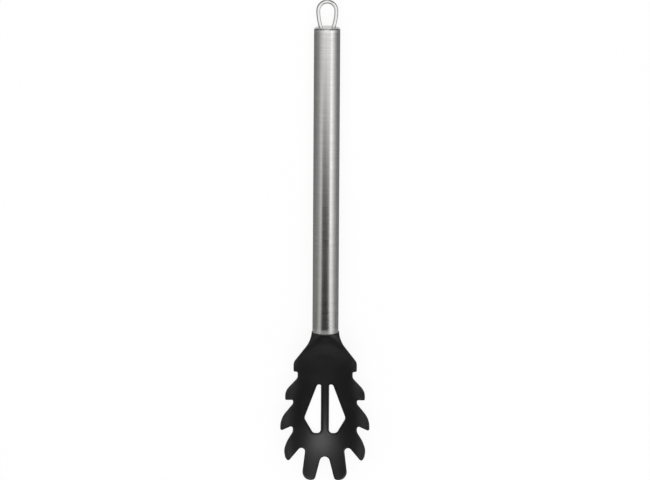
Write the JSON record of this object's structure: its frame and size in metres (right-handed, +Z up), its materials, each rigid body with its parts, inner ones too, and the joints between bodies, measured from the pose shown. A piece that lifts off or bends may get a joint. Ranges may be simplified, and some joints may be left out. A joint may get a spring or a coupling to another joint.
{
  "type": "pasta server",
  "caption": "Pasta server with a slotted, toothed moulded bowl on a closed round steel handle, with a polished wire hanging loop at its end.",
  "frame": {"origin": "centre of the whole server's footprint, on the table that it lies on", "axes": "+Z up, with the bowl open upwards; +Y along the server from the head to the hanging loop; +X to the right when it is seen from above with the loop at the top"},
  "size_m": [0.0654, 0.3562, 0.0303],
  "materials": {
    "handle_steel": "fine brushing round the tube",
    "cap_steel": "hand polished, with fine slanting marks",
    "loop_steel": "polished stainless wire",
    "head_nylon": "satin moulded nylon",
    "resin": "cured adhesive, out of sight"
  },
  "bodies": {
    "root": {"handle_tube": "handle_steel", "end_cap": "cap_steel", "cap_seam": "cap_steel", "hanging_loop": "loop_steel", "loop_welds": "loop_steel", "pasta_head": "head_nylon", "bonding_resin": "resin"}
  },
  "joints": []
}
